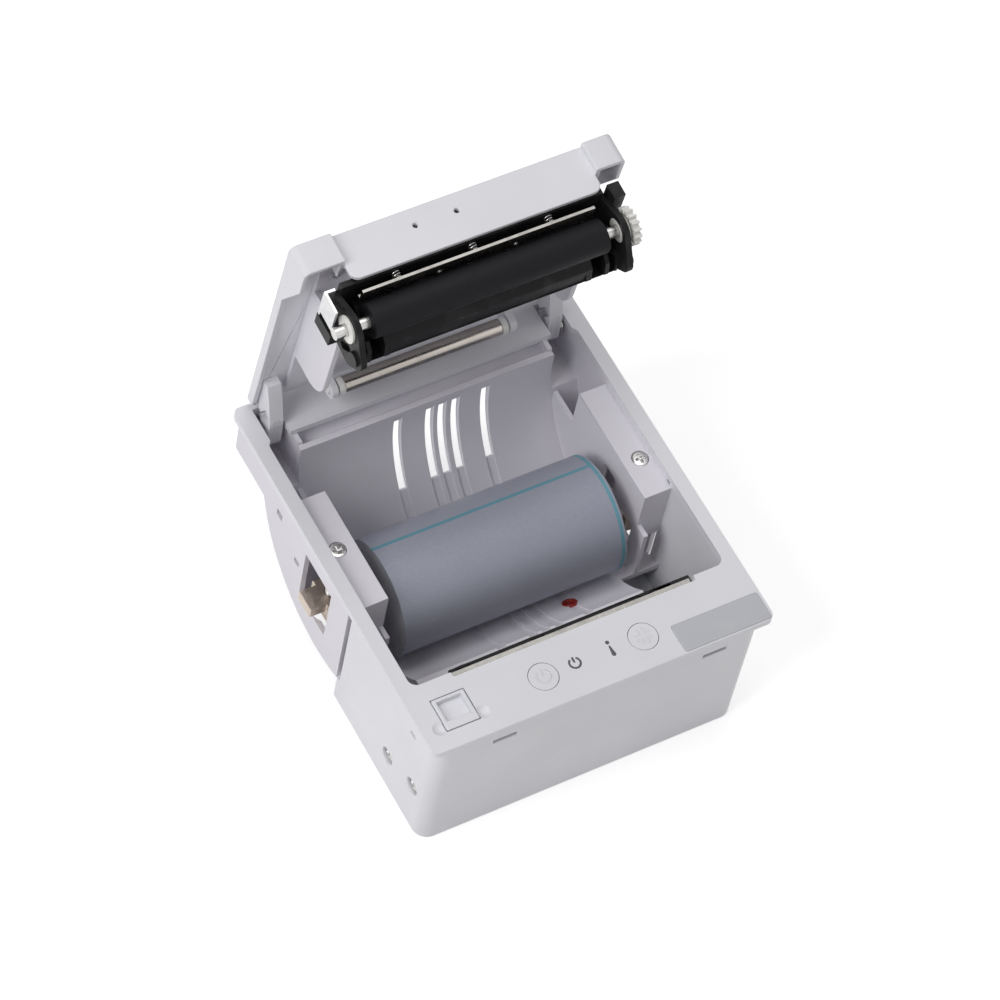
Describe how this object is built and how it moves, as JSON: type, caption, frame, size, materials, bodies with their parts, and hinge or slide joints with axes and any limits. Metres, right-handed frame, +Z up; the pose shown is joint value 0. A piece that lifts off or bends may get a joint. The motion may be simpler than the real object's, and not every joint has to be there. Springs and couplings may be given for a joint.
{
  "type": "receipt printer",
  "caption": "Panel-mount thermal receipt printer: flange, front block, slotted paper bucket and a rear-hinged lid that carries the platen roller and stands open.",
  "frame": {"origin": "centre of the panel cut-out, on the underside of the flange", "axes": "+X to the printer's right, +Y to its rear (hinge side), +Z up out of the panel"},
  "size_m": [0.121, 0.1363, 0.1543],
  "materials": {
    "white_abs": "fine satin moulded finish",
    "shell_white": "fine moulded finish",
    "black_plastic": "satin black",
    "dark_icon": "smoked clear",
    "plate_grey": "smooth satin plate",
    "board_green": "solder mask",
    "spring_steel": "drawn wire",
    "ceramic": "glazed",
    "aluminium": "extruded",
    "flex": "film",
    "blade_steel": "ground",
    "motor_grey": "plated can",
    "socket_metal": "bright",
    "sensor_red": "clear red",
    "ivory_plastic": "acetal",
    "brass": "cast",
    "paper": "thermal paper",
    "card": "card",
    "rubber": "ground rubber",
    "chrome": "polished"
  },
  "bodies": {
    "base": {"bezel": "white_abs", "front_case": "white_abs", "paper_bucket": "shell_white", "nameplate": "plate_grey", "light_pipes": "dark_icon", "button_board": "board_green", "tact_switches": "black_plastic", "release_spring": "spring_steel", "mech_frame": "black_plastic", "lower_guide": "black_plastic", "thermal_head": "ceramic", "heat_sink": "aluminium", "head_springs": "spring_steel", "head_cable": "flex", "cutter_frame": "black_plastic", "cutter_cover": "blade_steel", "cutter_motor": "motor_grey", "feed_motor": "motor_grey", "main_board": "board_green", "data_socket": "socket_metal", "power_socket": "black_plastic", "paper_sensor": "sensor_red", "side_screws": "spring_steel", "hinge_pins": "spring_steel"},
    "lid": {"lid_cover": "white_abs", "lid_liner": "shell_white", "liner_screws": "spring_steel", "hinge_arms": "white_abs", "lid_springs": "spring_steel", "platen_frame": "black_plastic", "platen_bushings": "ivory_plastic", "fixed_blade": "blade_steel", "blade_springs": "spring_steel", "latch_bracket": "aluminium", "guide_brackets": "white_abs"},
    "guide_roller_body": {"guide_roller": "chrome", "guide_ends": "ivory_plastic"},
    "platen": {"platen_rubber": "rubber", "platen_shaft": "spring_steel", "platen_gear": "ivory_plastic"},
    "release_key": {"release_button": "white_abs"},
    "power_key": {"power_button": "white_abs"},
    "feed_key": {"feed_button": "white_abs"},
    "latch": {"latch_shaft": "spring_steel", "latch_hooks": "black_plastic"},
    "moving_blade": {"cutter_blade": "blade_steel"},
    "cutter_drive": {"cutter_pinion": "ivory_plastic"},
    "motor_pinion": {"feed_pinion": "ivory_plastic"},
    "idler": {"idler_gear": "ivory_plastic"},
    "left_screw": {"left_clamp_screw": "spring_steel"},
    "right_screw": {"right_clamp_screw": "spring_steel"},
    "left_clamp_body": {"left_clamp": "brass"},
    "right_clamp_body": {"right_clamp": "brass"},
    "roll": {"paper_roll": "paper", "roll_core": "card"}
  },
  "joints": [
    {"name": "lid_hinge", "type": "hinge", "parent": "base", "child": "lid", "pos_m": [0, 0.0605, -0.0055], "axis": [1, 0, 0], "range_deg": [0, 84], "stiffness_Nm_per_rad": 0.01, "springref_deg": -57.3},
    {"name": "platen_spin", "type": "hinge", "parent": "lid", "child": "platen", "pos_m": [0, 0.03303, 0.08553], "axis": [1, 0, 0], "continuous": true},
    {"name": "guide_roller_spin", "type": "hinge", "parent": "lid", "child": "guide_roller_body", "pos_m": [0, 0.05655, 0.01299], "axis": [1, 0, 0], "continuous": true},
    {"name": "release_press", "type": "slide", "parent": "base", "child": "release_key", "axis": [0, 0, -1], "range_m": [0, 0.002], "stiffness_N_per_m": 400, "springref_m": -0.002, "deforming": ["release_spring"]},
    {"name": "latch_turn", "type": "hinge", "parent": "base", "child": "latch", "pos_m": [0, -0.047, -0.0225], "axis": [1, 0, 0], "range_deg": [0, 12.5]},
    {"name": "power_press", "type": "slide", "parent": "base", "child": "power_key", "axis": [0, 0, -1], "range_m": [0, 0.0006], "stiffness_N_per_m": 800, "springref_m": -0.0005},
    {"name": "feed_press", "type": "slide", "parent": "base", "child": "feed_key", "axis": [0, 0, -1], "range_m": [0, 0.0006], "stiffness_N_per_m": 800, "springref_m": -0.0005},
    {"name": "blade_slide", "type": "slide", "parent": "base", "child": "moving_blade", "axis": [0, 1, 0], "range_m": [0, 0.0048]},
    {"name": "cutter_drive_turn", "type": "hinge", "parent": "base", "child": "cutter_drive", "pos_m": [-0.03, -0.052, -0.02], "axis": [0, 0, 1], "range_deg": [0, 79]},
    {"name": "idler_spin", "type": "hinge", "parent": "base", "child": "idler", "pos_m": [0.049, -0.0433, -0.0356], "axis": [1, 0, 0], "continuous": true},
    {"name": "motor_pinion_spin", "type": "hinge", "parent": "base", "child": "motor_pinion", "pos_m": [0.049, -0.0569, -0.0356], "axis": [1, 0, 0], "continuous": true},
    {"name": "left_screw_turn", "type": "hinge", "parent": "base", "child": "left_screw", "pos_m": [-0.0516, 0.0108, -0.02], "axis": [0, 0, -1], "range_deg": [0, 7200]},
    {"name": "right_screw_turn", "type": "hinge", "parent": "base", "child": "right_screw", "pos_m": [0.0516, 0.0024, -0.02], "axis": [0, 0, -1], "range_deg": [0, 7200]},
    {"name": "left_clamp_slide", "type": "slide", "parent": "base", "child": "left_clamp_body", "axis": [0, 0, 1], "range_m": [0, 0.00999]},
    {"name": "right_clamp_slide", "type": "slide", "parent": "base", "child": "right_clamp_body", "axis": [0, 0, 1], "range_m": [0, 0.00999]},
    {"name": "roll_spin", "type": "hinge", "parent": "base", "child": "roll", "pos_m": [0, 0.0025, -0.0254], "axis": [1, 0, 0], "continuous": true}
  ],
  "couplings": [
    {"joint": "latch_turn", "follows": "release_press", "rad_per_m": 108.7},
    {"joint": "cutter_drive_turn", "follows": "blade_slide", "rad_per_m": 285.71},
    {"joint": "motor_pinion_spin", "follows": "idler_spin", "ratio": -1.8333},
    {"joint": "left_screw_turn", "follows": "left_clamp_slide", "rad_per_m": 12566},
    {"joint": "right_screw_turn", "follows": "right_clamp_slide", "rad_per_m": 12566}
  ]
}
